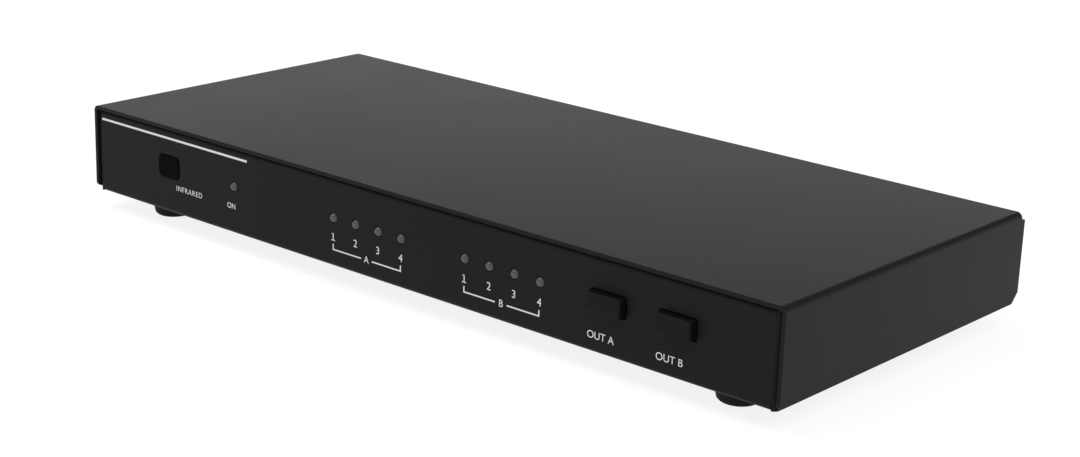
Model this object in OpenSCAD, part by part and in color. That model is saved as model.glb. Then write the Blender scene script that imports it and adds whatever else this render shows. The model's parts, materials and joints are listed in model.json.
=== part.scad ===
// Video switch box: folded steel case, rear sockets, front lamps and two push buttons.
// Millimetres. +Z is up, the front panel looks along -Y, and the floor is at z = 0.

/* [Case] */
// Width of the case across the cover
case_w = 270; // [245:1:320]
// Depth of the cover from its front edge to its rear lip
case_d = 118; // [100:1:160]
// Height of the case without its feet
case_h = 28.2; // [26.2:0.1:40]
// Thickness of the cover sheet
cover_t = 1.2; // [0.8:0.1:1.6]
// Thickness of the base sheet
base_t = 1; // [0.8:0.1:1.4]
// Outer radius of the folds of the cover
cover_bend_r = 1.7; // [1.6:0.1:3]
// Outer radius of the folds of the base
base_bend_r = 1.6; // [1.5:0.1:2.5]
// Gap between the sides of the cover and the base
cover_gap = 0.3; // [0.1:0.05:0.6]
// Setback of the front panel behind the front edge of the cover
panel_inset = 0.4; // [0:0.1:1.5]
// How far the sides of the cover end above the underside of the base
side_rise = 1.2; // [0:0.1:3]
// Height of the rear lip of the cover
lip_h = 8; // [7:0.5:9]
// Clipped lower rear corner of each cover side
corner_clip = 3; // [1:0.5:6]
// Radius of the lower front corner of each cover side
corner_r = 1.5; // [0.5:0.1:4]
// Depth of the flanges folded back from the front panel
return_d = 7; // [4:0.5:7.5]
// Height of the flanges folded up at the sides of the base
side_lip_h = 9; // [4:0.5:14]
// Gap left in the sheet where two folds meet
fold_relief = 0.6; // [0.3:0.1:1.5]
// Slit between the two folds at each corner of the front panel
fold_slit = 0.2; // [0.1:0.05:0.4]

/* [Feet] */
// Height of a rubber foot
foot_h = 6; // [5:0.5:10]
// Radius of a foot where it meets the base
foot_top_r = 7; // [6.5:0.5:12]
// Radius of a foot near the floor
foot_bottom_r = 6; // [5.5:0.5:11]
// Bevel round the bottom of a foot
foot_edge = 0.8; // [0.3:0.1:1.5]
// Straight rim at the top of a foot
foot_rim = 1; // [0.5:0.1:2]
// Radius of the recess for the screw head
foot_recess_r = 3.6; // [3.4:0.1:4.4]
// Depth of the recess for the screw head
foot_recess_d = 3.4; // [2.5:0.1:4]
// Distance of the feet from the sides of the case
foot_inset_x = 22; // [14:1:40]
// Distance of the feet from the front and the rear of the case
foot_inset_y = 14; // [12:1:30]
// Height of the tapped collars in the base
collar_h = 1.5; // [0.5:0.1:3]
// Wall of the tapped collars
collar_wall = 1.5; // [0.8:0.1:3]

/* [Screws] */
// Radius of the shank of the case, foot and board screws
screw_r = 1.5; // [1.2:0.1:2]
// Radius of the screw heads
screw_head_r = 2.8; // [2.4:0.1:3.4]
// Height of the screw heads
screw_head_h = 1.8; // [1.4:0.1:2.2]
// Height of the straight rim of the screw heads, under the dome
screw_rim_h = 0.7; // [0.4:0.1:1]
// Play of a screw in its hole
screw_play = 0.05; // [0.02:0.01:0.2]
// Width of the cross recess in the heads
cross_w = 0.7; // [0.4:0.1:1]
// Length of the cross recess in the heads
cross_l = 3; // [1.5:0.1:4]
// Depth of the cross recess in the heads
cross_d = 0.9; // [0.4:0.1:1.1]
// Distance of the outer cover screws from the sides of the case
cover_screw_inset = 16; // [10:1:60]
// How far a screw reaches past the sheet that it is driven into
screw_reach = 3; // [1:0.5:4]

/* [Front panel] */
// Height of the row of controls above the underside of the case
control_z = 15; // [12:0.1:16]
// Distance of the infrared window from the left side of the case
window_from_left = 36.5; // [30:0.5:45]
// Width of the infrared window
window_w = 10; // [6:0.5:14]
// Height of the infrared window
window_h = 7.6; // [5:0.5:10]
// Corner radius of the infrared window
window_r = 2; // [0.5:0.1:2.4]
// How far the window stands proud of the panel
window_proud = 0.3; // [0:0.1:1]
// Width of the flange behind the window
window_flange = 1.5; // [1:0.1:2]
// Thickness of the flange behind the window
window_flange_t = 1; // [0.6:0.1:1.4]
// Clearance of the window in its cut-out
window_play = 0.1; // [0.05:0.05:0.3]
// Distance of the power lamp from the left side of the case
power_led_from_left = 67; // [60:0.5:80]
// Distance of the first lamp of the first group from the middle of the case, to the left
group_a_from_middle = 24.3; // [20:0.1:28]
// Distance of the first lamp of the second group from the middle of the case, to the right
group_b_from_middle = 28; // [25:0.1:30]
// Distance between lamps in a group
led_pitch = 9.2; // [8:0.1:9.6]
// Radius of a lamp
led_r = 1.5; // [1.2:0.1:2]
// Length of the moulded body of a lamp
led_len = 5.3; // [4.5:0.1:6]
// Radius of the rim of a lamp
led_rim_r = 1.9; // [1.7:0.1:2.6]
// Thickness of the rim of a lamp
led_rim_t = 1; // [0.6:0.1:1.5]
// How far a lamp stands proud of the panel
led_proud = 0.8; // [0.3:0.1:1.5]
// Clearance of a lamp in its hole
led_play = 0.1; // [0.05:0.05:0.3]
// Thickness of the wire legs of a lamp
leg_t = 0.5; // [0.3:0.05:0.8]
// Distance between the wire legs of a lamp
leg_pitch = 2.54; // [1.5:0.01:3]

/* [Push buttons] */
// Distance of the second button from the right side of the case
button_from_right = 32.8; // [28:0.1:40]
// Distance between the two buttons
button_pitch = 22.9; // [20:0.1:26]
// Width of a button
button_w = 11.6; // [8:0.1:13]
// Height of a button
button_h = 5.6; // [4:0.1:8]
// Corner radius of a button
button_r = 0.8; // [0.3:0.1:1.5]
// Radius of the edges round the face of a button
button_edge_r = 0.6; // [0.2:0.1:1.2]
// How far a button stands proud of the panel at rest
button_proud = 2.6; // [2:0.1:5]
// Clearance of a button in its cut-out
button_play = 0.4; // [0.2:0.05:0.8]
// Width of the flange that keeps a button behind the panel
button_flange = 1.2; // [0.8:0.1:2]
// Thickness of that flange
button_flange_t = 1.2; // [0.8:0.1:1.6]
// Gap between the flange and the panel at rest
button_rest_gap = 0.1; // [0.05:0.05:0.3]
// Radius of the post that presses the switch
button_post_r = 2; // [1.6:0.1:2.6]
// Travel of a button
button_travel = 0.5; // [0.2:0.05:0.8]

/* [Switches behind the buttons] */
// Side of a switch body
switch_w = 6.2; // [5:0.1:8]
// Height of a switch body
switch_h = 3.4; // [3:0.1:4]
// Radius of the plunger of a switch
plunger_r = 1.75; // [1.2:0.05:2.2]
// How far a plunger stands out of its switch at rest
plunger_out = 1.2; // [1:0.1:1.6]
// How far a plunger reaches into its switch at rest
plunger_in = 1.4; // [1:0.1:1.8]
// Clearance of a plunger in its switch
plunger_play = 0.1; // [0.05:0.05:0.2]
// Space left under a plunger that is pressed in fully
plunger_room = 0.3; // [0.1:0.1:0.5]

/* [Control board] */
// Distance from the face of the front panel to the control board
control_gap = 8.5; // [8.2:0.1:12]
// Thickness of both circuit boards
board_t = 1.6; // [1:0.1:2]
// Gap above and below the control board
control_board_gap = 3.5; // [3.2:0.1:5]
// How far the control board runs past the outermost controls
control_board_margin = 9; // [8:0.5:14]
// Radius of the standoffs of the control board
control_post_r = 2.5; // [2.2:0.1:3]
// Width of the infrared receiver
receiver_w = 6; // [4:0.5:7]
// Height of the infrared receiver
receiver_h = 7; // [5:0.5:8]
// Depth of the infrared receiver without its lens
receiver_d = 3.4; // [2.5:0.1:3.8]
// Radius of the lens of the infrared receiver
receiver_lens_r = 1.8; // [1:0.1:2]

/* [Main board] */
// Height of the standoffs under the main board
standoff_h = 5; // [3:0.5:6]
// Radius of the standoffs under the main board
standoff_r = 3; // [2.5:0.1:4]
// Radius of the spigot pressed into the base
spigot_r = 2.1; // [1.8:0.1:2.6]
// Play of the spigot in the base
spigot_play = 0.03; // [0.02:0.01:0.1]
// Gap between the main board and the sides of the base
board_side_gap = 12; // [8:0.5:20]
// Gap between the main board and the rear panel
board_rear_gap = 1; // [0.5:0.1:2]
// Gap between the main board and the control board
board_front_gap = 6; // [5:0.5:12]
// Distance of the outer standoffs from the sides of the main board
standoff_inset_x = 20; // [17:1:40]
// Distance of the front standoffs from the front edge of the main board
standoff_front = 5; // [4:0.5:6]
// Distance of the rear standoffs from the rear edge of the main board
standoff_rear = 21; // [19:0.5:25]

/* [Video sockets] */
// Width of the mouth of a socket
mouth_w = 14; // [13:0.1:15]
// Height of the mouth of a socket
mouth_h = 4.55; // [4:0.05:5]
// Width of the narrow side of the mouth
mouth_key_w = 10.4; // [9:0.1:11.5]
// Height of the slanted part of the mouth
mouth_key_h = 1.7; // [1:0.1:2]
// Thickness of the drawn shell
shell_t = 0.4; // [0.3:0.05:0.5]
// Depth of a socket
socket_d = 12; // [10.5:0.1:14]
// How far a socket stands proud of the rear panel
socket_proud = 0.6; // [0.2:0.1:1]
// Clearance of a socket in its cut-out
socket_play = 0.35; // [0.1:0.05:0.8]
// Width of the tongue
tongue_w = 11.4; // [10:0.1:12]
// Thickness of the tongue
tongue_t = 1.9; // [1.5:0.1:2.2]
// Depth of the moulding that holds the tongue
tongue_root = 3.5; // [2.5:0.1:5]
// How far the tongue ends behind the mouth
tongue_setback = 1; // [0.5:0.1:2]
// Distance of the front pair of solder legs behind the mouth
leg_front = 5; // [4.5:0.1:6]
// Distance of the rear pair of solder legs behind the mouth
leg_rear = 9.5; // [8:0.1:9.8]
// Width of a solder leg of a socket
leg_w = 1.6; // [1:0.1:2]
// How far a solder leg stands out under the main board
leg_out = 1.2; // [0.5:0.1:1.5]
// Clearance of a solder leg in the main board
leg_play = 0.15; // [0.05:0.05:0.3]
// Distance of each spring finger from the middle of the shell
finger_x = 3.4; // [2.5:0.1:4.5]
// Width of a spring finger in the shell
finger_w = 1.8; // [1.2:0.1:2.4]
// Length of a spring finger
finger_l = 4.5; // [3:0.1:5]
// Width of the slot round a spring finger
finger_slot = 0.4; // [0.2:0.05:0.6]
// Distance of the slots behind the mouth
finger_setback = 1.6; // [1:0.1:2]
// Distance between sockets of a row
socket_pitch = 26; // [22:0.5:27]
// Distance of the first input socket from the left side of the case
input_from_left = 37; // [33:0.5:38]
// Distance of the nearest output socket from the middle of the case, to the right
output_from_middle = 20; // [14:0.5:30]

/* [Power jack] */
// Distance of the power jack from the right side of the case
jack_from_right = 37; // [34:0.5:45]
// Width of the body of the jack
jack_w = 9; // [8.6:0.1:12]
// Height of the body of the jack
jack_h = 11; // [10.5:0.1:12]
// Depth of the body of the jack
jack_d = 12.5; // [12:0.1:15]
// Height of the axis of the jack above the main board
jack_axis_z = 6.3; // [5.5:0.1:6.4]
// Radius of the collar that passes through the rear panel
jack_collar_r = 4; // [3.8:0.1:4.2]
// How far the collar stands proud of the rear panel
jack_proud = 0.8; // [0.3:0.1:1.2]
// Clearance of the collar in its hole
jack_play = 0.2; // [0.1:0.05:0.4]
// Gap between the body of the jack and the rear panel
jack_gap = 0.2; // [0.1:0.05:0.5]
// Radius of the bore for the plug
jack_bore_r = 3; // [2.8:0.1:3.2]
// Depth of the bore for the plug
jack_bore_d = 9.5; // [8:0.1:10.5]
// Radius of the centre pin
jack_pin_r = 1; // [0.8:0.05:1.3]
// How far the tip of the pin lies behind the mouth
jack_pin_setback = 0.8; // [0.3:0.1:2]
// Length of the tapered tip of the pin
jack_tip = 0.5; // [0.2:0.1:1]
// Radius of the root of the pin
jack_root_r = 1.5; // [1.4:0.1:2]
// Length of the root of the pin
jack_root = 3; // [2:0.1:4]
// Play of the root in the body
jack_root_play = 0.03; // [0.02:0.01:0.1]

/* [Board parts] */
// Distance of the ribbon cable from the middle of the case, to the left
ribbon_from_middle = 46; // [42:0.5:50]
// Width of the ribbon cable
ribbon_w = 12.7; // [8:0.1:14]
// Thickness of the ribbon cable
ribbon_t = 0.9; // [0.5:0.1:1.5]
// Radius of the bend of the ribbon cable at its middle
ribbon_bend_r = 4; // [3:0.1:5]
// Straight drop of the ribbon cable above its header
ribbon_drop = 1; // [0.5:0.1:1.5]
// Thickness of the headers
header_t = 5; // [4:0.1:5.5]
// Height of the headers
header_h = 5; // [4:0.1:5.5]
// Width of a header past the ribbon at each end
header_end = 1; // [0.5:0.1:2]
// Distance of the header from the front edge of the main board
header_setback = 8; // [6.5:0.5:20]
// Side of a switching chip
chip_w = 14; // [10:0.5:16]
// Side of the controller chip
controller_w = 10; // [7:0.5:12]
// Height of the chips
chip_h = 1.5; // [1:0.1:2]
// Distance of each switching chip from the middle of the case
chip_from_middle = 48; // [42:1:56]
// Distance of the chips from the rear edge of the main board
chip_setback = 42; // [38:1:46]
// Distance of the regulator from the axis of the power jack
regulator_from_jack = 16; // [8:1:20]
// Width of the regulator
regulator_w = 6.6; // [5:0.1:8]
// Depth of the regulator
regulator_d = 9.5; // [8:0.1:11]
// Height of the regulator
regulator_h = 2.3; // [2:0.1:3]
// Radius of a filter capacitor
capacitor_r = 3.15; // [2.5:0.05:4]
// Height of a filter capacitor
capacitor_h = 7.7; // [5:0.1:9]
// Distance between filter capacitors
capacitor_pitch = 10; // [9:0.5:12]
// Distance of the filter capacitors from the rear edge of the main board
capacitor_setback = 30; // [27:0.5:32]

/* [Hidden] */
$fn = 64;
INPUTS = 4;
OUTPUTS = ["a", "b"];
LAMPS = 4;
FEET = ["front_left", "front_right", "rear_left", "rear_right"];

// Overrun of a cut past the face that it opens
over = 1;

// Planes of the case, with the whole object centred on y = 0
front_reach = button_proud - panel_inset;
rear_reach = screw_head_h;
cover_y = -(case_d + rear_reach - front_reach) / 2;
lip_y = cover_y + case_d;
panel_y = cover_y + panel_inset;
rear_y = lip_y - cover_t;
case_z = foot_h;
side_z = case_z + side_rise;
top_z = case_z + case_h;
ceiling_z = top_z - cover_t;
floor_z = case_z + base_t;
panel_back_y = panel_y + base_t;
base_x = case_w / 2 - cover_t - cover_gap;
flat_x = base_x - base_bend_r;
left_x = -case_w / 2;
right_x = case_w / 2;
cover_inner_r = cover_bend_r - cover_t;
base_inner_r = base_bend_r - base_t;
rear_top_z = ceiling_z - cover_inner_r - cover_gap;

// Front controls
row_z = case_z + control_z;
window_x = left_x + window_from_left;
power_led_x = left_x + power_led_from_left;
group_x = [-group_a_from_middle, group_b_from_middle];
button_b_x = right_x - button_from_right;
button_x = [button_b_x - button_pitch, button_b_x];
button_back_y = panel_back_y + button_rest_gap + button_flange_t;

// Control board
control_y = panel_y + control_gap;
control_back_y = control_y + board_t;
control_low_z = floor_z + control_board_gap;
control_high_z = ceiling_z - control_board_gap;
control_left_x = window_x - control_board_margin;
control_right_x = button_b_x + control_board_margin;
control_post_x = [
    (window_x + power_led_x) / 2,
    (group_x[0] + (LAMPS - 1) * led_pitch + group_x[1]) / 2,
    (button_x[0] + button_x[1]) / 2];
switch_face_y = control_y - switch_h;
plunger_tip_y = switch_face_y - plunger_out;

// Main board
board_z = floor_z + standoff_h;
board_top_z = board_z + board_t;
board_x = base_x - board_side_gap;
board_front_y = control_back_y + board_front_gap;
board_rear_y = rear_y - base_t - board_rear_gap;
standoff_x = [-(board_x - standoff_inset_x), 0, board_x - standoff_inset_x];
standoff_y = [board_front_y + standoff_front, board_rear_y - standoff_rear];
standoff_places = [for (x = standoff_x) for (y = standoff_y) [x, y]];

// Rear sockets
shell_h = mouth_h + 2 * shell_t;
shell_w = mouth_w + 2 * shell_t;
mouth_z = board_top_z + shell_t;
socket_y = rear_y + socket_proud;
input_x = [for (i = [0 : INPUTS - 1]) left_x + input_from_left + i * socket_pitch];
output_x = [for (i = [0 : len(OUTPUTS) - 1]) output_from_middle + i * socket_pitch];
socket_x = concat(input_x, output_x);
jack_x = right_x - jack_from_right;
jack_z = board_top_z + jack_axis_z;
jack_mouth_y = rear_y + jack_proud;
jack_face_y = rear_y - base_t - jack_gap;
jack_floor_y = jack_mouth_y - jack_bore_d;

// Screws
screw_hole_r = screw_r + screw_play;
cover_screw_x = [-(case_w / 2 - cover_screw_inset), 0, case_w / 2 - cover_screw_inset];
cover_screw_z = top_z - (lip_h + cover_bend_r) / 2;
foot_x = case_w / 2 - foot_inset_x;
foot_y = [cover_y + foot_inset_y, lip_y - foot_inset_y];
foot_places = [[-foot_x, foot_y[0]], [foot_x, foot_y[0]], [-foot_x, foot_y[1]], [foot_x, foot_y[1]]];

// Ribbon cable
ribbon_x = -ribbon_from_middle;
main_header_y = board_front_y + header_setback;
main_header_top_z = board_top_z + header_h;
ribbon_z = main_header_top_z + ribbon_drop + ribbon_bend_r;
control_header_y = control_back_y + header_h;

// Flat outline with a radius of its own at each corner: lower left, lower right, upper right, upper left
module outline(low, high, radii = [0, 0, 0, 0]) {
    difference() {
        translate(low) square(high - low);
        for (i = [0 : 3]) {
            right = (i == 1 || i == 2) ? 1 : 0;
            upper = (i >= 2) ? 1 : 0;
            if (radii[i] > 0)
                translate([right == 1 ? high.x : low.x, upper == 1 ? high.y : low.y])
                    mirror([right, 0]) mirror([0, upper]) corner_waste(radii[i]);
        }
    }
}

// What a radius takes off a square corner at the origin
module corner_waste(r) {
    difference() {
        translate([-over, -over]) square(r + over);
        translate([r, r]) circle(r);
    }
}

// Rounded rectangle about a centre
module rounded(centre, w, h, r) {
    outline([centre.x - w / 2, centre.y - h / 2], [centre.x + w / 2, centre.y + h / 2], [r, r, r, r]);
}

// Plate with an outline drawn in x and z, between two values of y
module plate_y(low, high) {
    translate([0, high, 0]) rotate([90, 0, 0]) linear_extrude(high - low) children();
}

// Plate with an outline drawn in y and z, between two values of x
module plate_x(low, high) {
    translate([low, 0, 0]) rotate([90, 0, 90]) linear_extrude(high - low) children();
}

// Plate with an outline drawn in x and y, between two values of z
module plate_z(low, high) {
    translate([0, 0, low]) linear_extrude(high - low) children();
}

// Block between two corners
module block(low, high) {
    translate(low) cube(high - low);
}

// Round bar along y between two values of y
module rod_y(x, z, low, high, r) {
    translate([x, low, z]) rotate([-90, 0, 0]) cylinder(r = r, h = high - low);
}

// Both sides of the case from a drawing of the right one
module both_sides() {
    children();
    mirror([1, 0, 0]) children();
}

// Screw with its domed head above z = 0 and its shank below
module screw(shank) {
    dome_h = screw_head_h - screw_rim_h;
    dome_r = (screw_head_r * screw_head_r + dome_h * dome_h) / (2 * dome_h);
    difference() {
        union() {
            intersection() {
                cylinder(r = screw_head_r, h = screw_head_h + over);
                translate([0, 0, screw_head_h - dome_r]) sphere(r = dome_r);
            }
            translate([0, 0, -shank]) cylinder(r = screw_r, h = shank + screw_rim_h / 2);
        }
        translate([0, 0, screw_head_h - cross_d]) {
            block([-cross_l / 2, -cross_w / 2, 0], [cross_l / 2, cross_w / 2, cross_d + over]);
            block([-cross_w / 2, -cross_l / 2, 0], [cross_w / 2, cross_l / 2, cross_d + over]);
        }
    }
}

// Section of the base along its depth: bottom, front panel with its top flange, and rear panel
module base_section() {
    difference() {
        outline([panel_y, case_z], [rear_y, ceiling_z], [base_bend_r, base_bend_r, 0, base_bend_r]);
        outline([panel_back_y, floor_z], [rear_y - base_t, ceiling_z - base_t],
            [base_inner_r, base_inner_r, 0, base_inner_r]);
        outline([panel_y + return_d, ceiling_z - base_t - over], [rear_y - base_t, ceiling_z + over]);
        outline([rear_y - base_t - over, rear_top_z], [rear_y + over, ceiling_z + over]);
    }
}

// Side flange of the base, drawn across the width at the right side
module side_flange_section() {
    difference() {
        outline([flat_x - over, case_z], [base_x, case_z + side_lip_h], [0, base_bend_r, 0, 0]);
        outline([flat_x - 2 * over, floor_z], [base_x - base_t, case_z + side_lip_h + over],
            [0, base_inner_r, 0, 0]);
    }
}

// Vertical fold at the right end of the front panel, seen from above
module front_fold_section() {
    difference() {
        outline([flat_x - over, panel_y], [base_x, panel_y + return_d], [0, base_bend_r, 0, 0]);
        outline([flat_x - 2 * over, panel_back_y], [base_x - base_t, panel_y + return_d + over],
            [0, base_inner_r, 0, 0]);
    }
}

// That fold over the height of the panel, slit from the folds above and below it, to close the corners
module front_fold() {
    low_slit = [case_z - over, case_z + base_bend_r + fold_relief];
    high_slit = [ceiling_z - base_bend_r - fold_relief, ceiling_z + over];
    difference() {
        plate_z(case_z + fold_slit, ceiling_z - cover_gap) front_fold_section();
        for (slit = [low_slit, high_slit])
            block([flat_x - 2 * over, panel_y - over, slit[0]],
                [flat_x + fold_slit, panel_y + return_d + over, slit[1]]);
    }
}

// Outline of a socket's mouth, grown by a wall, with its narrow side down
module mouth_outline(x, wall) {
    half_key = mouth_key_w / 2 + wall / 2;
    half = mouth_w / 2 + wall;
    low = mouth_z - wall;
    knee = mouth_z + mouth_key_h - wall / 2;
    high = mouth_z + mouth_h + wall;
    polygon([[x - half_key, low], [x + half_key, low], [x + half, knee],
        [x + half, high], [x - half, high], [x - half, knee]]);
}

// Cut-outs of the front panel
module panel_cuts() {
    plate_y(panel_y - over, panel_back_y + over) {
        rounded([window_x, row_z], window_w, window_h, window_r);
        for (x = button_x)
            rounded([x, row_z], button_w + 2 * button_play, button_h + 2 * button_play, button_r);
    }
    for (x = led_places())
        rod_y(x, row_z, panel_y - over, panel_back_y + over, led_r + led_play);
}

// Cut-outs of the rear panel
module rear_cuts() {
    for (x = socket_x)
        block([x - shell_w / 2 - socket_play, rear_y - base_t - over, board_top_z - socket_play],
            [x + shell_w / 2 + socket_play, rear_y + over, board_top_z + shell_h + socket_play]);
    rod_y(jack_x, jack_z, rear_y - base_t - over, rear_y + over, jack_collar_r + jack_play);
    for (x = cover_screw_x)
        rod_y(x, cover_screw_z, rear_y - base_t - over, rear_y + over, screw_hole_r);
}

// Holes of the base for the feet and the standoffs
module floor_cuts() {
    for (p = foot_places)
        translate([p.x, p.y, case_z - over]) cylinder(r = screw_hole_r, h = base_t + collar_h + 2 * over);
    for (p = standoff_places)
        translate([p.x, p.y, case_z - over]) cylinder(r = spigot_r + spigot_play, h = base_t + 2 * over);
}

// All lamps of the front panel, from left to right
function led_places() =
    concat([power_led_x], [for (x = group_x) for (i = [0 : LAMPS - 1]) x + i * led_pitch]);

module base_tray() {
    color("#1d1d1f") difference() {
        union() {
            plate_x(-flat_x, flat_x) base_section();
            block([-base_x, rear_y - base_t, case_z + base_bend_r + fold_relief],
                [base_x, rear_y, rear_top_z]);
            both_sides() {
                plate_y(panel_y + return_d + fold_relief, rear_y - base_bend_r - fold_relief)
                    side_flange_section();
                front_fold();
            }
            for (p = foot_places)
                translate([p.x, p.y, case_z + base_t / 2])
                    cylinder(r = screw_hole_r + collar_wall, h = base_t / 2 + collar_h);
        }
        panel_cuts();
        rear_cuts();
        floor_cuts();
    }
}

// Section of the cover across the width: top and two sides
module cover_section() {
    difference() {
        outline([left_x, side_z], [right_x, top_z], [0, 0, cover_bend_r, cover_bend_r]);
        outline([left_x + cover_t, side_z - over], [right_x - cover_t, ceiling_z],
            [0, 0, cover_inner_r, cover_inner_r]);
    }
}

// Section of the rear lip along the depth
module lip_section() {
    difference() {
        outline([lip_y - cover_bend_r - over, top_z - lip_h], [lip_y, top_z], [0, 0, cover_bend_r, 0]);
        outline([lip_y - cover_bend_r - 2 * over, top_z - lip_h - over], [rear_y, ceiling_z],
            [0, 0, cover_inner_r, 0]);
    }
}

module top_cover() {
    side_top_z = top_z - cover_bend_r - fold_relief;
    color("#2a2a2c") difference() {
        union() {
            plate_y(cover_y, lip_y - cover_bend_r) cover_section();
            plate_x(left_x + cover_bend_r, right_x - cover_bend_r) lip_section();
            both_sides()
                block([right_x - cover_t, lip_y - cover_bend_r - over, side_z], [right_x, lip_y, side_top_z]);
        }
        plate_x(left_x - over, right_x + over) {
            translate([cover_y, side_z]) corner_waste(corner_r);
            polygon([[lip_y - corner_clip, side_z], [lip_y + over, side_z + corner_clip + over],
                [lip_y + over, side_z - over], [lip_y - corner_clip - over, side_z - over]]);
        }
        for (x = cover_screw_x)
            rod_y(x, cover_screw_z, rear_y - over, lip_y + over, screw_hole_r);
    }
}

module cover_screws() {
    color("#3a3a3d") for (x = cover_screw_x)
        translate([x, lip_y, cover_screw_z]) rotate([-90, 0, 0]) screw(cover_t + base_t + screw_reach);
}

module foot(place) {
    color("#161616") translate([place.x, place.y, 0]) rotate_extrude() polygon([
        [foot_recess_r, 0], [foot_bottom_r - foot_edge, 0], [foot_bottom_r, foot_edge],
        [foot_top_r, foot_h - foot_rim], [foot_top_r, foot_h], [screw_hole_r, foot_h],
        [screw_hole_r, foot_recess_d], [foot_recess_r, foot_recess_d]]);
}

module foot_screws() {
    color("#8d8f93") for (p = foot_places)
        translate([p.x, p.y, foot_recess_d]) rotate([180, 0, 0])
            screw(foot_h - foot_recess_d + base_t + collar_h);
}

module main_board() {
    color("#1f5b36") difference() {
        block([-board_x, board_front_y, board_z], [board_x, board_rear_y, board_top_z]);
        for (p = standoff_places)
            translate([p.x, p.y, board_z - over]) cylinder(r = screw_hole_r, h = board_t + 2 * over);
        for (x = socket_x) socket_legs(x, leg_play);
    }
}

module board_standoffs() {
    color("#b9bcc0") for (p = standoff_places)
        translate([p.x, p.y, case_z]) difference() {
            union() {
                cylinder(r = spigot_r, h = base_t);
                translate([0, 0, base_t]) cylinder(r = standoff_r, h = standoff_h);
            }
            translate([0, 0, base_t + standoff_h - screw_reach - over])
                cylinder(r = screw_hole_r, h = screw_reach + 2 * over);
        }
}

module board_screws() {
    color("#8d8f93") for (p = standoff_places)
        translate([p.x, p.y, board_top_z]) screw(board_t + screw_reach);
}

// Solder legs of a socket, from the sides of its shell down through the board, grown by a clearance
module socket_legs(x, play) {
    outer_x = shell_w / 2 + play;
    inner_x = mouth_w / 2 - play;
    for (side = [-1, 1])
        for (back = [leg_front, leg_rear])
            block([x + (side > 0 ? inner_x : -outer_x), socket_y - back - leg_w / 2 - play,
                    board_z - leg_out],
                [x + (side > 0 ? outer_x : -inner_x), socket_y - back + leg_w / 2 + play,
                    mouth_z + mouth_h / 2]);
}

// Slots that free a spring finger in the upper wall of a shell, with its root away from the mouth
module finger_slots(x) {
    tip_y = socket_y - finger_setback;
    low_z = mouth_z + mouth_h - over / 2;
    high_z = board_top_z + shell_h + over;
    for (middle = [x - finger_x, x + finger_x]) {
        left = middle - finger_w / 2;
        right = middle + finger_w / 2;
        block([left - finger_slot, tip_y - finger_slot, low_z], [right + finger_slot, tip_y, high_z]);
        for (edge = [left - finger_slot, right])
            block([edge, tip_y - finger_l, low_z], [edge + finger_slot, tip_y, high_z]);
    }
}

module socket_shell(x) {
    color("#c3c6ca") difference() {
        union() {
            plate_y(socket_y - socket_d, socket_y) mouth_outline(x, shell_t);
            socket_legs(x, 0);
        }
        plate_y(socket_y - socket_d - over, socket_y + over) mouth_outline(x, 0);
        finger_slots(x);
    }
}

module socket_tongue(x) {
    tongue_z = mouth_z + (mouth_h - tongue_t) / 2;
    color("#111111") {
        plate_y(socket_y - socket_d, socket_y - socket_d + tongue_root) mouth_outline(x, 0);
        block([x - tongue_w / 2, socket_y - socket_d, tongue_z],
            [x + tongue_w / 2, socket_y - tongue_setback, tongue_z + tongue_t]);
    }
}

module power_jack_body() {
    color("#131313") difference() {
        union() {
            block([jack_x - jack_w / 2, jack_face_y - jack_d, board_top_z],
                [jack_x + jack_w / 2, jack_face_y, board_top_z + jack_h]);
            rod_y(jack_x, jack_z, jack_face_y - over, jack_mouth_y, jack_collar_r);
        }
        rod_y(jack_x, jack_z, jack_floor_y, jack_mouth_y + over, jack_bore_r);
        rod_y(jack_x, jack_z, jack_floor_y - jack_root, jack_floor_y + over, jack_root_r + jack_root_play);
    }
}

module power_jack_pin() {
    tip_y = jack_mouth_y - jack_pin_setback;
    color("#c9a64e") {
        rod_y(jack_x, jack_z, jack_floor_y - jack_root, jack_floor_y, jack_root_r);
        rod_y(jack_x, jack_z, jack_floor_y - jack_root / 2, tip_y - jack_tip, jack_pin_r);
        translate([jack_x, tip_y - jack_tip, jack_z]) rotate([-90, 0, 0])
            cylinder(r1 = jack_pin_r, r2 = jack_pin_r / 2, h = jack_tip);
    }
}

module control_board() {
    color("#1f5b36") difference() {
        block([control_left_x, control_y, control_low_z], [control_right_x, control_back_y, control_high_z]);
        for (x = control_post_x)
            rod_y(x, row_z, control_y - over, control_back_y + over, screw_hole_r);
    }
}

module control_board_standoffs() {
    color("#b9bcc0") for (x = control_post_x)
        difference() {
            rod_y(x, row_z, panel_back_y, control_y, control_post_r);
            rod_y(x, row_z, control_y - screw_reach - over, control_y + over, screw_hole_r);
        }
}

module control_board_screws() {
    color("#8d8f93") for (x = control_post_x)
        translate([x, control_back_y, row_z]) rotate([-90, 0, 0]) screw(board_t + screw_reach);
}

module lamp(x) {
    tip_y = panel_y - led_proud;
    base_y = tip_y + led_len;
    color("#d9dadb") {
        translate([x, tip_y + led_r, row_z]) sphere(r = led_r);
        rod_y(x, row_z, tip_y + led_r, base_y, led_r);
        rod_y(x, row_z, base_y - led_rim_t, base_y, led_rim_r);
        for (side = [-1, 1])
            translate([x + side * leg_pitch / 2 - leg_t / 2, base_y - led_rim_t / 2, row_z - leg_t / 2])
                cube([leg_t, control_y - base_y + led_rim_t / 2, leg_t]);
    }
}

module ir_window() {
    color("#120608") {
        plate_y(panel_y - window_proud, panel_back_y + window_flange_t / 2)
            rounded([window_x, row_z], window_w - 2 * window_play, window_h - 2 * window_play,
                window_r - window_play);
        plate_y(panel_back_y, panel_back_y + window_flange_t)
            rounded([window_x, row_z], window_w + 2 * window_flange, window_h + 2 * window_flange,
                window_r + window_flange);
    }
}

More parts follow.
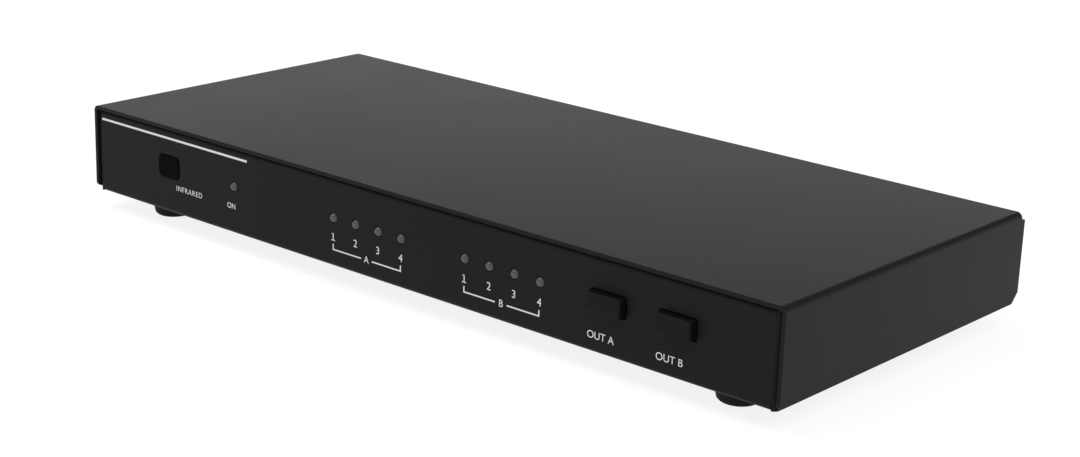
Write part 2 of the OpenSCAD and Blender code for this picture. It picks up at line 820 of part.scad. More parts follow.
module ir_receiver() {
    color("#0e0e10") {
        block([window_x - receiver_w / 2, control_y - receiver_d, row_z - receiver_h / 2],
            [window_x + receiver_w / 2, control_y, row_z + receiver_h / 2]);
        translate([window_x, control_y - receiver_d, row_z]) sphere(r = receiver_lens_r);
    }
}

// Cap of a button with rounded edges round its face
module button_cap(x, face_y, back_y) {
    low_x = x - button_w / 2;
    low_z = row_z - button_h / 2;
    intersection() {
        plate_y(face_y, back_y) rounded([x, row_z], button_w, button_h, button_r);
        plate_z(low_z, low_z + button_h)
            outline([low_x, face_y], [low_x + button_w, back_y], [button_edge_r, button_edge_r, 0, 0]);
        plate_x(low_x, low_x + button_w)
            outline([face_y, low_z], [back_y, low_z + button_h], [button_edge_r, 0, 0, button_edge_r]);
    }
}

module button(x) {
    color("#0d0d0e") {
        button_cap(x, panel_y - button_proud, button_back_y - button_flange_t / 2);
        plate_y(button_back_y - button_flange_t, button_back_y)
            rounded([x, row_z], button_w + 2 * (button_play + button_flange),
                button_h + 2 * (button_play + button_flange), button_r);
        rod_y(x, row_z, button_back_y - button_flange_t / 2, plunger_tip_y, button_post_r);
    }
}

module switch_body(x) {
    bore_d = plunger_in + button_travel + plunger_room;
    color("#202022") difference() {
        block([x - switch_w / 2, switch_face_y, row_z - switch_w / 2],
            [x + switch_w / 2, control_y, row_z + switch_w / 2]);
        rod_y(x, row_z, switch_face_y - over, switch_face_y + bore_d, plunger_r + plunger_play);
    }
}

module switch_plunger(x) {
    color("#e8e4da") rod_y(x, row_z, plunger_tip_y, switch_face_y + plunger_in, plunger_r);
}

// Middle line of the ribbon given a thickness: straight out of one header, then down into the other
module ribbon_section() {
    bend_y = main_header_y - ribbon_bend_r;
    half = ribbon_t / 2;
    outline([control_header_y, ribbon_z - half], [bend_y, ribbon_z + half]);
    outline([main_header_y - half, main_header_top_z], [main_header_y + half, ribbon_z - ribbon_bend_r]);
    intersection() {
        translate([bend_y, ribbon_z - ribbon_bend_r]) difference() {
            circle(ribbon_bend_r + half);
            circle(ribbon_bend_r - half);
        }
        outline([bend_y, ribbon_z - ribbon_bend_r], [main_header_y + ribbon_t, ribbon_z + ribbon_t]);
    }
}

module ribbon_cable() {
    color("#8f9296") plate_x(ribbon_x - ribbon_w / 2, ribbon_x + ribbon_w / 2) ribbon_section();
}

module main_board_header() {
    half = ribbon_w / 2 + header_end;
    color("#ded9cc")
        block([ribbon_x - half, main_header_y - header_t / 2, board_top_z],
            [ribbon_x + half, main_header_y + header_t / 2, main_header_top_z]);
}

module control_board_header() {
    half = ribbon_w / 2 + header_end;
    color("#ded9cc")
        block([ribbon_x - half, control_back_y, ribbon_z - header_t / 2],
            [ribbon_x + half, control_header_y, ribbon_z + header_t / 2]);
}

// Square chip package that stands on the main board
module chip(x, side) {
    y = board_rear_y - chip_setback;
    block([x - side / 2, y - side / 2, board_top_z], [x + side / 2, y + side / 2, board_top_z + chip_h]);
}

module switching_chips() {
    color("#18181a") for (x = [-chip_from_middle, chip_from_middle]) chip(x, chip_w);
}

module controller_chip() {
    color("#18181a") chip(0, controller_w);
}

module voltage_regulator() {
    y = board_rear_y - chip_setback;
    x = jack_x - regulator_from_jack;
    color("#18181a")
        block([x - regulator_w / 2, y - regulator_d / 2, board_top_z],
            [x + regulator_w / 2, y + regulator_d / 2, board_top_z + regulator_h]);
}

module filter_capacitors() {
    color("#b4b7ba") for (i = [-1 : 1])
        translate([chip_from_middle + i * capacitor_pitch, board_rear_y - capacitor_setback, board_top_z])
            cylinder(r = capacitor_r, h = capacitor_h);
}

base_tray();
top_cover();
cover_screws();
for (i = [0 : len(FEET) - 1])
    foot(foot_places[i]);
foot_screws();
main_board();
board_standoffs();
board_screws();
for (i = [0 : INPUTS - 1]) {
    socket_shell(input_x[i]);
    socket_tongue(input_x[i]);
}
for (i = [0 : len(OUTPUTS) - 1]) {
    socket_shell(output_x[i]);
    socket_tongue(output_x[i]);
    button(button_x[i]);
    switch_body(button_x[i]);
    switch_plunger(button_x[i]);
    for (k = [0 : LAMPS - 1])
        lamp(group_x[i] + k * led_pitch);
}
lamp(power_led_x);  // power_led
power_jack_body();
power_jack_pin();
control_board();
control_board_standoffs();
control_board_screws();
ir_window();
ir_receiver();
ribbon_cable();
main_board_header();
control_board_header();
switching_chips();
controller_chip();
voltage_regulator();
filter_capacitors();
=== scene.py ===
# Looks of a low black video switch box: paint, plastics, plated parts and print, on a pale floor.
# Metres. +Z is up, the front panel looks along -Y, and the floor is at z = 0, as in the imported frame.
import json
import math

import bmesh
import bpy
from mathutils import Matrix, Vector

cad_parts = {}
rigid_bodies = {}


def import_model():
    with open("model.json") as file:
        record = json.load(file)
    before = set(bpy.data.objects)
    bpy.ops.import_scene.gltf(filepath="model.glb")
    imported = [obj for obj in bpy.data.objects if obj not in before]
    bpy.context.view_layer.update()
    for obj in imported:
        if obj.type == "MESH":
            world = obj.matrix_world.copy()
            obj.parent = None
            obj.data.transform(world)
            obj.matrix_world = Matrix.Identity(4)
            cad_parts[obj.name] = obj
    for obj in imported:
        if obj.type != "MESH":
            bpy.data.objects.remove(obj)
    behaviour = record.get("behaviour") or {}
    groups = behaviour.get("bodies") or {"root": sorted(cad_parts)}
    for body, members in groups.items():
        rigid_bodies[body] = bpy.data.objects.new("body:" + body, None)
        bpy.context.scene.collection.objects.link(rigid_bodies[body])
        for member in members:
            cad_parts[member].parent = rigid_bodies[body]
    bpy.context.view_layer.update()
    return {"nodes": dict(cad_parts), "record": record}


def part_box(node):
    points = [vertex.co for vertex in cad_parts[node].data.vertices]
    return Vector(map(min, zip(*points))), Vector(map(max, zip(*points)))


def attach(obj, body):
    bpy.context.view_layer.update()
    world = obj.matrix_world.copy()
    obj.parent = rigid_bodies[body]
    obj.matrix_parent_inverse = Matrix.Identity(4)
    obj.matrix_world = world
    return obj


for left_over in list(bpy.data.objects):
    bpy.data.objects.remove(left_over)
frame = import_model()

MM = 0.001
INPUTS = (1, 2, 3, 4)
OUTPUTS = ("a", "b")
SLOT_OF_NODE = {part["node"]: part["material_slot"] for part in frame["record"]["subparts"]}

# Camera: the photograph's angles, and the way to the eye from the middle of the cover's lower edges
CAMERA_AZIMUTH = math.radians(40.57)
CAMERA_ELEVATION = math.radians(17.26)
CAMERA_ROLL = math.radians(1.95)
CAMERA_BACK = 650.4 * MM
CAMERA_RIGHT = 3.78 * MM
CAMERA_UP = 3.51 * MM
CAMERA_NEAREST = 10 * MM
# Lens and sensor in millimetres, as the camera takes them
CAMERA_LENS = 70.863
CAMERA_SENSOR = 36.0

# Materials: noise keeps to the middle of 0 to 1, and its scales count features in a metre
NOISE_SPAN = (0.2, 0.8)
EVEN = (1.0, 1.0, 1.0)
SURFACE_DRIFT_SCALE = 30.0
SURFACE_BUMP = 0.5
METAL_DRIFT_SCALE = 120.0
METAL_COLOUR_DRIFT = 0.06
METAL_ROUGH_DRIFT = 0.07
METAL_RELIEF = 0.004 * MM
METAL_BUMP = 0.4
RIBBON_PITCH = 1.27 * MM

# Softened edges of the CAD pieces, with the rounding of each material slot
WELD_DISTANCE = 0.001 * MM
FLAT_ANGLE = math.radians(0.5)
EDGE_ANGLE = math.radians(38)
EDGE_STEPS = 2
FULL_AREA_WEIGHT = 100
EDGE_ROUNDING = {
    "cover_paint": 0.15 * MM,
    "panel_paint": 0.12 * MM,
    "black_screw": 0.12 * MM,
    "steel_screw": 0.12 * MM,
    "foot_rubber": 0.35 * MM,
    "button_plastic": 0.12 * MM,
    "ir_plastic": 0.25 * MM,
    "socket_shell": 0.1 * MM,
    "black_plastic": 0.15 * MM,
    "plunger_plastic": 0.15 * MM,
    "header_plastic": 0.2 * MM,
    "chip": 0.15 * MM,
    "capacitor_can": 0.4 * MM,
}

# Strokes of the printed marks
INK_THICKNESS = 0.03 * MM
LINE_WIDTH = 0.42 * MM
STEM_WIDTH = 0.34 * MM
BRACKET_TICK = 1.7 * MM
# Height of a capital as a share of the font's size
CAPITAL_SHARE = 0.70
# Shares of the height of a mark: the flag and half the foot of a 1, and half the gap in a bracket
FLAG_SHARE = 0.16
FOOT_SHARE = 0.24
GAP_MARGIN = 0.5
GAP_PER_LETTER = 0.55

# Marks of the front panel: drops are below the lamps and the window
NUMBER_HEIGHT = 2.3 * MM
NUMBER_DROP = 5.8 * MM
LETTER_HEIGHT = 2.1 * MM
BRACKET_DROP = 9.6 * MM
BUTTON_WORD_DROP = 10.0 * MM
BUTTON_WORD_LEFT = 2.2 * MM
WORD_HEIGHT = 1.7 * MM
WORD_DROP = 6.3 * MM
WINDOW_WORD_RIGHT = 9.5 * MM
WINDOW_WORD_SPACING = 1.15
POWER_WORD_LEFT = 1.2 * MM
# The rule at the upper left: how far it is from the end and the top of the panel
RULE_INSET = 2.0 * MM
RULE_DROP = 2.8 * MM
RULE_LENGTH = 69.5 * MM
RULE_WIDTH = 0.7 * MM

# Marks of the rear panel: below and above the tongues of the sockets
REAR_MARK_HEIGHT = 2.0 * MM
REAR_MARK_DROP = 3.7 * MM
REAR_BRACKET_RISE = 3.4 * MM

# Contacts of the video sockets
TONGUE_THICKNESS = 1.9 * MM
CONTACT_SETBACK = 0.35 * MM
CONTACT_PITCH = 1.0 * MM
CONTACT_WIDTH = 0.5 * MM
CONTACT_PROUD = 0.06 * MM
CONTACT_LENGTH = 6.0 * MM
CONTACT_ROUNDING = 0.03 * MM
CONTACTS_ABOVE = 10
CONTACTS_BELOW = 9

# Floor: what the eye and gloss see of it is a glow, mixed with the matt floor that takes the shadow
FLOOR_HALF = 6.0
FLOOR_COLOUR = (0.82, 0.82, 0.81)
FLOOR_GLOW = 1.15
FLOOR_GLOW_SHARE = 0.75

# World: heights are sines of the angle above the horizon
WORLD_LIGHT = 0.55
BACKGROUND_LEVEL = 1.0
SWEEP_COLOUR = (1.0, 1.0, 0.965)
SWEEP_LEVEL = 1.24
SWEEP_TOP = 0.165
CEILING_START = 0.325
CEILING_LEVEL = 0.16

# Lamps
KEY_PLACE = (-0.6, -0.5, 1.3)
KEY_SIZE = 0.9
KEY_WATTS = 9.0
FILL_PLACE = (0.9, -0.2, 1.0)
FILL_SIZE = 0.8
FILL_WATTS = 5.0


def node_centre(name):
    low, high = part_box(name)
    return (low + high) / 2


def put_in_scene(name, data):
    """An object of the scene for a mesh, text, lamp or camera."""
    thing = bpy.data.objects.new(name, data)
    bpy.context.scene.collection.objects.link(thing)
    return thing


# Steps that materials are made of

def new_material(name):
    """A node material with one Principled shader, its tree and that shader."""
    material = bpy.data.materials.new(name)
    material.use_nodes = True
    tree = material.node_tree
    shader = tree.nodes["Principled BSDF"]
    return material, tree, shader


def object_noise(tree, scale, detail=2.0, stretch=EVEN):
    """Noise over the object's own metres; marks run along the axis whose stretch is small."""
    place = tree.nodes.new("ShaderNodeTexCoord")
    mapping = tree.nodes.new("ShaderNodeMapping")
    mapping.inputs["Scale"].default_value = stretch
    noise = tree.nodes.new("ShaderNodeTexNoise")
    noise.inputs["Scale"].default_value = scale
    noise.inputs["Detail"].default_value = detail
    tree.links.new(place.outputs["Object"], mapping.inputs["Vector"])
    tree.links.new(mapping.outputs["Vector"], noise.inputs["Vector"])
    return noise.outputs["Fac"]


def map_range(tree, value, source, target, easing):
    """Eases a value from one range to another, each given as two numbers."""
    ramp = tree.nodes.new("ShaderNodeMapRange")
    ramp.interpolation_type = easing
    for socket, number in zip(("From Min", "From Max", "To Min", "To Max"), (*source, *target)):
        ramp.inputs[socket].default_value = number
    tree.links.new(value, ramp.inputs["Value"])
    return ramp.outputs["Result"]


def vary_gloss(tree, shader, value, low, high):
    """Lets the roughness drift between two values."""
    roughness = map_range(tree, value, NOISE_SPAN, (low, high), "SMOOTHERSTEP")
    tree.links.new(roughness, shader.inputs["Roughness"])


def vary_colour(tree, shader, value, colour, amount):
    """Lets the colour drift a little darker and lighter about the one given."""
    ramp = tree.nodes.new("ShaderNodeValToRGB")
    ramp.color_ramp.interpolation = "EASE"
    for element, position, side in zip(ramp.color_ramp.elements, NOISE_SPAN, (-1, 1)):
        element.position = position
        element.color = (*(c * (1 + side * amount) for c in colour), 1)
    tree.links.new(value, ramp.inputs["Fac"])
    tree.links.new(ramp.outputs["Color"], shader.inputs["Base Color"])


def add_bump(tree, shader, value, depth, strength):
    """Fine relief of a given depth in metres."""
    bump = tree.nodes.new("ShaderNodeBump")
    bump.inputs["Strength"].default_value = strength
    bump.inputs["Distance"].default_value = depth
    tree.links.new(value, bump.inputs["Height"])
    tree.links.new(bump.outputs["Normal"], shader.inputs["Normal"])


def surface(name, colour, roughness, specular, grain, depth, drift=0.05, rough_drift=0.02):
    """Paint, plastic or rubber: a fine grain, with colour and gloss that drift slowly."""
    material, tree, shader = new_material(name)
    slow = object_noise(tree, SURFACE_DRIFT_SCALE, detail=3.0)
    fine = object_noise(tree, grain)
    vary_colour(tree, shader, slow, colour, drift)
    vary_gloss(tree, shader, slow, roughness - rough_drift, roughness + rough_drift)
    shader.inputs["Specular IOR Level"].default_value = specular
    add_bump(tree, shader, fine, depth, SURFACE_BUMP)
    return material


def metal(name, colour, roughness, stretch=EVEN, grain=900.0):
    """Bare or plated metal with drawing marks."""
    material, tree, shader = new_material(name)
    marks = object_noise(tree, grain, detail=3.0, stretch=stretch)
    slow = object_noise(tree, METAL_DRIFT_SCALE)
    vary_colour(tree, shader, slow, colour, METAL_COLOUR_DRIFT)
    vary_gloss(tree, shader, marks, roughness - METAL_ROUGH_DRIFT, roughness + METAL_ROUGH_DRIFT)
    shader.inputs["Metallic"].default_value = 1.0
    add_bump(tree, shader, marks, METAL_RELIEF, METAL_BUMP)
    return material


# Materials, one for each slot

def cover_paint():
    return surface("cover_paint", colour=(0.013, 0.013, 0.0125), roughness=0.30, specular=0.065,
                   grain=1500.0, depth=0.07 * MM, rough_drift=0.012)


def panel_paint():
    return surface("panel_paint", colour=(0.010, 0.010, 0.0097), roughness=0.5, specular=0.088,
                   grain=1500.0, depth=0.05 * MM)


def black_screw():
    return metal("black_screw", colour=(0.035, 0.035, 0.036), roughness=0.38, grain=3000.0)


def steel_screw():
    return metal("steel_screw", colour=(0.58, 0.58, 0.57), roughness=0.32, grain=2500.0)


def foot_rubber():
    return surface("foot_rubber", colour=(0.012, 0.012, 0.012), roughness=0.78, specular=0.2,
                   grain=1800.0, depth=0.04 * MM, drift=0.15)


def button_plastic():
    return surface("button_plastic", colour=(0.005, 0.005, 0.005), roughness=0.45, specular=0.1,
                   grain=3500.0, depth=0.012 * MM)


def ir_plastic():
    return surface("ir_plastic", colour=(0.0012, 0.0006, 0.0006), roughness=0.24, specular=0.02,
                   grain=900.0, depth=0.003 * MM, rough_drift=0.03)


def lamp_lens():
    """Cloudy grey plastic of an unlit lamp."""
    material, tree, shader = new_material("lamp_lens")
    cloud = object_noise(tree, scale=900.0)
    vary_colour(tree, shader, cloud, colour=(0.068, 0.071, 0.068), amount=0.12)
    vary_gloss(tree, shader, cloud, low=0.3, high=0.42)
    shader.inputs["Specular IOR Level"].default_value = 0.5
    add_bump(tree, shader, cloud, depth=0.01 * MM, strength=0.3)
    return material


def socket_shell():
    return metal("socket_shell", colour=(0.60, 0.60, 0.59), roughness=0.27, stretch=(1.0, 0.08, 1.0))


def black_plastic():
    return surface("black_plastic", colour=(0.011, 0.011, 0.0115), roughness=0.5, specular=0.4,
                   grain=3000.0, depth=0.012 * MM)


def pin_brass():
    return metal("pin_brass", colour=(0.72, 0.53, 0.24), roughness=0.25, stretch=(1.0, 0.1, 1.0))


def contact_gold():
    return metal("contact_gold", colour=(0.83, 0.58, 0.22), roughness=0.22, stretch=(1.0, 0.1, 1.0))


def plunger_plastic():
    return surface("plunger_plastic", colour=(0.62, 0.60, 0.54), roughness=0.45, specular=0.4,
                   grain=2500.0, depth=0.01 * MM)


def board():
    """Green solder mask, lighter and raised over the copper tracks."""
    mask_dark = (0.012, 0.085, 0.035, 1)
    mask_light = (0.014, 0.10, 0.042, 1)
    mask_on_track = (0.03, 0.17, 0.075, 1)
    material, tree, shader = new_material("board")
    place = tree.nodes.new("ShaderNodeTexCoord")
    tracks = tree.nodes.new("ShaderNodeTexBrick")
    tracks.inputs["Scale"].default_value = 140.0
    tracks.inputs["Color1"].default_value = mask_dark
    tracks.inputs["Color2"].default_value = mask_light
    tracks.inputs["Mortar"].default_value = mask_on_track
    tracks.inputs["Mortar Size"].default_value = 0.03
    tree.links.new(place.outputs["Object"], tracks.inputs["Vector"])
    tree.links.new(tracks.outputs["Color"], shader.inputs["Base Color"])
    weave = object_noise(tree, scale=2200.0)
    vary_gloss(tree, shader, weave, low=0.28, high=0.40)
    add_bump(tree, shader, tracks.outputs["Fac"], depth=0.02 * MM, strength=0.4)
    return material


def ribbon():
    """Grey ribbon with its parallel wires as ribs; the texture's bands are pi / (10 * scale) apart."""
    material, tree, shader = new_material("ribbon")
    place = tree.nodes.new("ShaderNodeTexCoord")
    ribs = tree.nodes.new("ShaderNodeTexWave")
    ribs.bands_direction = "X"
    ribs.inputs["Scale"].default_value = math.pi / (10 * RIBBON_PITCH)
    tree.links.new(place.outputs["Object"], ribs.inputs["Vector"])
    # Painted light and shade: the colour follows the ribs, darker in the grooves between the wires and
    # lighter on their crests.
    vary_colour(tree, shader, ribs.outputs["Fac"], colour=(0.32, 0.33, 0.34), amount=0.15)
    vary_gloss(tree, shader, object_noise(tree, scale=800.0), low=0.45, high=0.58)
    add_bump(tree, shader, ribs.outputs["Fac"], depth=0.2 * MM, strength=0.5)
    return material


def header_plastic():
    return surface("header_plastic", colour=(0.60, 0.56, 0.45), roughness=0.48, specular=0.4,
                   grain=2500.0, depth=0.01 * MM)


def chip():
    return surface("chip", colour=(0.014, 0.014, 0.015), roughness=0.62, specular=0.35,
                   grain=4000.0, depth=0.015 * MM)


def capacitor_can():
    return metal("capacitor_can", colour=(0.64, 0.64, 0.65), roughness=0.3, stretch=(1.0, 1.0, 0.1))


def panel_print():
    return surface("panel_print", colour=(0.80, 0.80, 0.78), roughness=0.55, specular=0.3,
                   grain=3000.0, depth=0.006 * MM, drift=0.04)


MATERIALS = {make.__name__: make() for make in (
    cover_paint, panel_paint, black_screw, steel_screw, foot_rubber, button_plastic, ir_plastic,
    lamp_lens, socket_shell, black_plastic, pin_brass, contact_gold, plunger_plastic, board, ribbon,
    header_plastic, chip, capacitor_can, panel_print)}


def dress_nodes():
    """Gives each CAD piece its material, and softens the edges of those whose slot has a rounding."""
    for name, piece in frame["nodes"].items():
        slot = SLOT_OF_NODE[name]
        piece.data.materials.clear()
        piece.data.materials.append(MATERIALS[slot])
        if slot not in EDGE_ROUNDING:
            continue
        weld = piece.modifiers.new("weld", "WELD")
        weld.merge_threshold = WELD_DISTANCE
        flats = piece.modifiers.new("flats", "DECIMATE")
        flats.decimate_type = "DISSOLVE"
        flats.angle_limit = FLAT_ANGLE
        rounding = piece.modifiers.new("rounding", "BEVEL")
        rounding.width = EDGE_ROUNDING[slot]
        rounding.segments = EDGE_STEPS
        rounding.limit_method = "ANGLE"
        rounding.angle_limit = EDGE_ANGLE
        normals = piece.modifiers.new("normals", "WEIGHTED_NORMAL")
        normals.weight = FULL_AREA_WEIGHT


# Pieces made here

def add_piece(name, mesh, slot):
    """A fixed piece, which rides on the case."""
    piece = put_in_scene(name, mesh)
    mesh.materials.clear()
    mesh.materials.append(MATERIALS[slot])
    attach(piece, "case")
    return piece


def add_box(shape, low, high):
    """Adds a closed box between two corners to a bmesh."""
    place = Matrix.Translation((low + high) / 2) @ Matrix.Diagonal((*(high - low), 1))
    bmesh.ops.create_cube(shape, size=1.0, matrix=place)


def mesh_from(shape, name):
    mesh = bpy.data.meshes.new(name)
    shape.to_mesh(mesh)
    shape.free()
    return mesh


class Face:
    """A flat face that takes print; outward is -1 on the front, along -Y, and 1 on the rear."""

    def __init__(self, y, outward):
        self.y = y
        self.outward = outward

    def text(self, name, words, x, z, height, spacing=1.0):
        """Words centred on a point of the face, with capitals of the given height."""
        letters = bpy.data.curves.new(name, "FONT")
        letters.body = words
        letters.align_x = "CENTER"
        letters.align_y = "CENTER"
        letters.size = height / CAPITAL_SHARE
        letters.space_character = spacing
        letters.extrude = INK_THICKNESS / 2
        turn = 0.0 if self.outward < 0 else math.pi
        place = Matrix.Translation((x, self.y + self.outward * INK_THICKNESS / 2, z))
        place = place @ Matrix.Rotation(turn, 4, "Z") @ Matrix.Rotation(math.pi / 2, 4, "X")
        source = put_in_scene(name, letters)
        bpy.context.view_layer.update()
        seen = source.evaluated_get(bpy.context.evaluated_depsgraph_get())
        mesh = bpy.data.meshes.new_from_object(seen)
        bpy.data.objects.remove(source)
        mesh.transform(place)
        add_piece(name, mesh, "panel_print")

    def bars(self, name, bars):
        """Straight strokes, each given as low x, low z, high x, high z."""
        shape = bmesh.new()
        near, far = sorted((self.y, self.y + self.outward * INK_THICKNESS))
        for x0, z0, x1, z1 in bars:
            add_box(shape, Vector((x0, near, z0)), Vector((x1, far, z1)))
        add_piece(name, mesh_from(shape, name), "panel_print")

    def number(self, name, n, x, z, height):
        """A figure; the 1 is drawn with a flag at the reader's left and a foot."""
        if n != 1:
            self.text(name, str(n), x, z, height)
            return
        low = z - height / 2
        high = z + height / 2
        half = STEM_WIDTH / 2
        foot = half + FOOT_SHARE * height
        flag_end = x + self.outward * (half + FLAG_SHARE * height)
        flag_left, flag_right = sorted((flag_end, x))
        self.bars(name, [
            (x - half, low, x + half, high),
            (flag_left, high - STEM_WIDTH, flag_right, high),
            (x - foot, low, x + foot, low + STEM_WIDTH)])

    def bracket(self, name, word, left, right, z, up, height):
        """A line with a word in a gap at its middle and a tick at each end; up is 1 or -1."""
        half = LINE_WIDTH / 2
        middle = (left + right) / 2
        half_gap = (GAP_MARGIN + GAP_PER_LETTER * len(word)) * height
        tick_low, tick_high = sorted((z - up * half, z + up * BRACKET_TICK))
        self.bars(name, [
            (left + half, z - half, middle - half_gap, z + half),
            (middle + half_gap, z - half, right - half, z + half),
            (left - half, tick_low, left + half, tick_high),
            (right - half, tick_low, right + half, tick_high)])
        self.text(name + "_word", word, middle, z, height)


def front_print():
    """Marks of the front panel, each placed from the control that it names."""
    low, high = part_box("base_tray")
    front = Face(low.y, -1)
    for group in OUTPUTS:
        letter = group.upper()
        lamps = [node_centre(f"led_{group}{n}") for n in INPUTS]
        row_z = lamps[0].z
        for n, lamp in zip(INPUTS, lamps):
            front.number(f"front_number_{group}{n}", n, lamp.x, row_z - NUMBER_DROP, NUMBER_HEIGHT)
        front.bracket(f"front_bracket_{group}", letter, lamps[0].x, lamps[-1].x,
                      row_z - BRACKET_DROP, 1, LETTER_HEIGHT)
        button = node_centre(f"button_{group}")
        front.text(f"front_button_{group}", f"OUT {letter}", button.x - BUTTON_WORD_LEFT,
                   row_z - BUTTON_WORD_DROP, LETTER_HEIGHT)
    window = node_centre("ir_window")
    front.text("front_window_mark", "INFRARED", window.x + WINDOW_WORD_RIGHT, window.z - WORD_DROP,
               WORD_HEIGHT, WINDOW_WORD_SPACING)
    power = node_centre("power_led")
    front.text("front_power_mark", "ON", power.x - POWER_WORD_LEFT, power.z - WORD_DROP, WORD_HEIGHT)
    rule_left = low.x + RULE_INSET
    rule_z = high.z - RULE_DROP
    front.bars("front_rule", [
        (rule_left, rule_z - RULE_WIDTH / 2, rule_left + RULE_LENGTH, rule_z + RULE_WIDTH / 2)])


def rear_print():
    """A number or letter under each socket, and a bracket over each group."""
    rear = Face(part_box("base_tray")[1].y, 1)
    low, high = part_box("input_tongue_1")
    mark_z = low.z - REAR_MARK_DROP
    bracket_z = high.z + REAR_BRACKET_RISE
    inputs = [node_centre(f"input_tongue_{n}").x for n in INPUTS]
    for n, x in zip(INPUTS, inputs):
        rear.number(f"rear_mark_{n}", n, x, mark_z, REAR_MARK_HEIGHT)
    outputs = [node_centre(f"output_tongue_{group}").x for group in OUTPUTS]
    for group, x in zip(OUTPUTS, outputs):
        rear.text(f"rear_mark_{group}", group.upper(), x, mark_z, REAR_MARK_HEIGHT)
    rear.bracket("rear_bracket_in", "IN", inputs[0], inputs[-1], bracket_z, -1, REAR_MARK_HEIGHT)
    rear.bracket("rear_bracket_out", "OUT", outputs[0], outputs[-1], bracket_z, -1, REAR_MARK_HEIGHT)
    rear.text("rear_mark_power", "DC", node_centre("power_jack_pin").x, mark_z, REAR_MARK_HEIGHT)


def socket_contacts():
    """Gold strips on the upper and lower faces of each tongue."""
    for node in sorted(n for n in frame["nodes"] if "_tongue_" in n):
        x, _, z = node_centre(node)
        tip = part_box(node)[1].y - CONTACT_SETBACK
        shape = bmesh.new()
        for count, side in ((CONTACTS_ABOVE, 1), (CONTACTS_BELOW, -1)):
            face_z = z + side * TONGUE_THICKNESS / 2
            for i in range(count):
                middle = x + (i - (count - 1) / 2) * CONTACT_PITCH
                low = Vector((middle - CONTACT_WIDTH / 2, tip - CONTACT_LENGTH, face_z - CONTACT_PROUD))
                high = Vector((middle + CONTACT_WIDTH / 2, tip, face_z + CONTACT_PROUD))
                add_box(shape, low, high)
        name = node.replace("tongue", "contacts")
        piece = add_piece(name, mesh_from(shape, name), "contact_gold")
        rounding = piece.modifiers.new("rounding", "BEVEL")
        rounding.width = CONTACT_ROUNDING
        rounding.segments = 1


# Studio

def mix_shaders(tree, share, first, second):
    """The first shader where the share is 0, and the second where it is 1."""
    mix = tree.nodes.new("ShaderNodeMixShader")
    tree.links.new(share, mix.inputs["Fac"])
    tree.links.new(first, mix.inputs[1])
    tree.links.new(second, mix.inputs[2])
    return mix.outputs["Shader"]


def is_seen(tree):
    """1 for rays that show the background: straight, mirrored or through glass."""
    rays = tree.nodes.new("ShaderNodeLightPath")
    seen = rays.outputs["Is Camera Ray"]
    for kind in ("Is Glossy Ray", "Is Transmission Ray"):
        either = tree.nodes.new("ShaderNodeMath")
        either.operation = "MAXIMUM"
        tree.links.new(seen, either.inputs[0])
        tree.links.new(rays.outputs[kind], either.inputs[1])
        seen = either.outputs["Value"]
    return seen


def add_floor():
    """A pale floor that looks white and keeps the shadow."""
    shape = bmesh.new()
    bmesh.ops.create_grid(shape, x_segments=1, y_segments=1, size=FLOOR_HALF)
    floor = put_in_scene("floor", mesh_from(shape, "floor"))
    material = bpy.data.materials.new("floor")
    material.use_nodes = True
    tree = material.node_tree
    tree.nodes.clear()
    matt = tree.nodes.new("ShaderNodeBsdfDiffuse")
    matt.inputs["Color"].default_value = (*FLOOR_COLOUR, 1)
    glow = tree.nodes.new("ShaderNodeEmission")
    glow.inputs["Strength"].default_value = FLOOR_GLOW
    share = tree.nodes.new("ShaderNodeMath")
    share.operation = "MULTIPLY"
    share.inputs[1].default_value = FLOOR_GLOW_SHARE
    tree.links.new(is_seen(tree), share.inputs[0])
    shown = mix_shaders(tree, share.outputs["Value"], matt.outputs["BSDF"], glow.outputs["Emission"])
    out = tree.nodes.new("ShaderNodeOutputMaterial")
    tree.links.new(shown, out.inputs["Surface"])
    floor.data.materials.append(material)


def background(tree, strength, colour=(1.0, 1.0, 1.0)):
    shade = tree.nodes.new("ShaderNodeBackground")
    shade.inputs["Color"].default_value = (*colour, 1)
    shade.inputs["Strength"].default_value = strength
    return shade


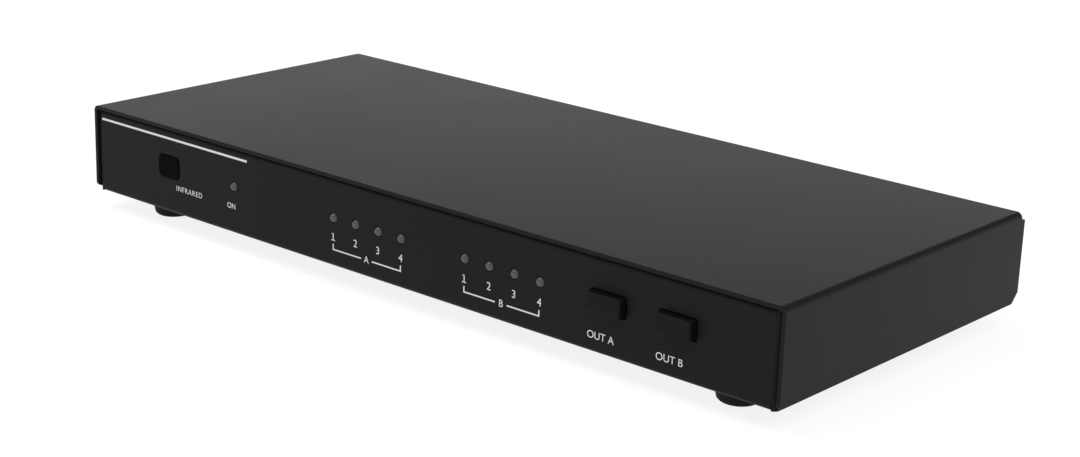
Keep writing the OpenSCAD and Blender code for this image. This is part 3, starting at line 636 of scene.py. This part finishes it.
def add_world():
    """White to the eye, and a plain level of light for matt surfaces.

    What glossy surfaces mirror is a white sweep under a dim ceiling.
    """
    world = bpy.data.worlds.new("studio")
    bpy.context.scene.world = world
    world.use_nodes = True
    world.cycles.sampling_method = "NONE"
    tree = world.node_tree
    tree.nodes.clear()
    light = background(tree, WORLD_LIGHT).outputs["Background"]
    seen = background(tree, BACKGROUND_LEVEL).outputs["Background"]
    mirrored = background(tree, SWEEP_LEVEL, SWEEP_COLOUR)
    place = tree.nodes.new("ShaderNodeTexCoord")
    split = tree.nodes.new("ShaderNodeSeparateXYZ")
    tree.links.new(place.outputs["Generated"], split.inputs["Vector"])
    sweep = map_range(tree, split.outputs["Z"], (SWEEP_TOP, CEILING_START),
                      (SWEEP_LEVEL, CEILING_LEVEL), "SMOOTHSTEP")
    tree.links.new(sweep, mirrored.inputs["Strength"])
    rays = tree.nodes.new("ShaderNodeLightPath").outputs
    shown = mix_shaders(tree, rays["Is Glossy Ray"], light, mirrored.outputs["Background"])
    shown = mix_shaders(tree, rays["Is Transmission Ray"], shown, seen)
    shown = mix_shaders(tree, rays["Is Camera Ray"], shown, seen)
    out = tree.nodes.new("ShaderNodeOutputWorld")
    tree.links.new(shown, out.inputs["Surface"])


def add_lamp(name, place, size, watts):
    """A square lamp that looks at the origin."""
    light = bpy.data.lights.new(name, "AREA")
    light.shape = "SQUARE"
    light.size = size
    light.energy = watts
    lamp = put_in_scene(name, light)
    lamp.location = place
    lamp.rotation_euler = (-Vector(place)).to_track_quat("-Z", "Y").to_euler()


def add_camera():
    """The photograph's view."""
    right = Vector((math.cos(CAMERA_AZIMUTH), math.sin(CAMERA_AZIMUTH), 0))
    back = Vector((math.sin(CAMERA_AZIMUTH) * math.cos(CAMERA_ELEVATION),
                   -math.cos(CAMERA_AZIMUTH) * math.cos(CAMERA_ELEVATION),
                   math.sin(CAMERA_ELEVATION)))
    up = back.cross(right)
    roll_right = math.cos(CAMERA_ROLL) * right + math.sin(CAMERA_ROLL) * up
    roll_up = math.cos(CAMERA_ROLL) * up - math.sin(CAMERA_ROLL) * right
    low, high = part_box("top_cover")
    start = Vector(((low.x + high.x) / 2, (low.y + high.y) / 2, low.z))
    eye = start + CAMERA_RIGHT * roll_right + CAMERA_UP * roll_up + CAMERA_BACK * back
    lens = bpy.data.cameras.new("camera")
    lens.lens = CAMERA_LENS
    lens.sensor_width = CAMERA_SENSOR
    lens.sensor_fit = "HORIZONTAL"
    lens.clip_start = CAMERA_NEAREST
    camera = put_in_scene("camera", lens)
    turn = Matrix((roll_right, roll_up, back)).transposed()
    camera.matrix_world = Matrix.Translation(eye) @ turn.to_4x4()
    bpy.context.scene.camera = camera


add_camera()
dress_nodes()
front_print()
rear_print()
socket_contacts()
add_floor()
add_world()
add_lamp("key", KEY_PLACE, KEY_SIZE, KEY_WATTS)
add_lamp("fill", FILL_PLACE, FILL_SIZE, FILL_WATTS)
bpy.context.scene.view_settings.view_transform = "Standard"
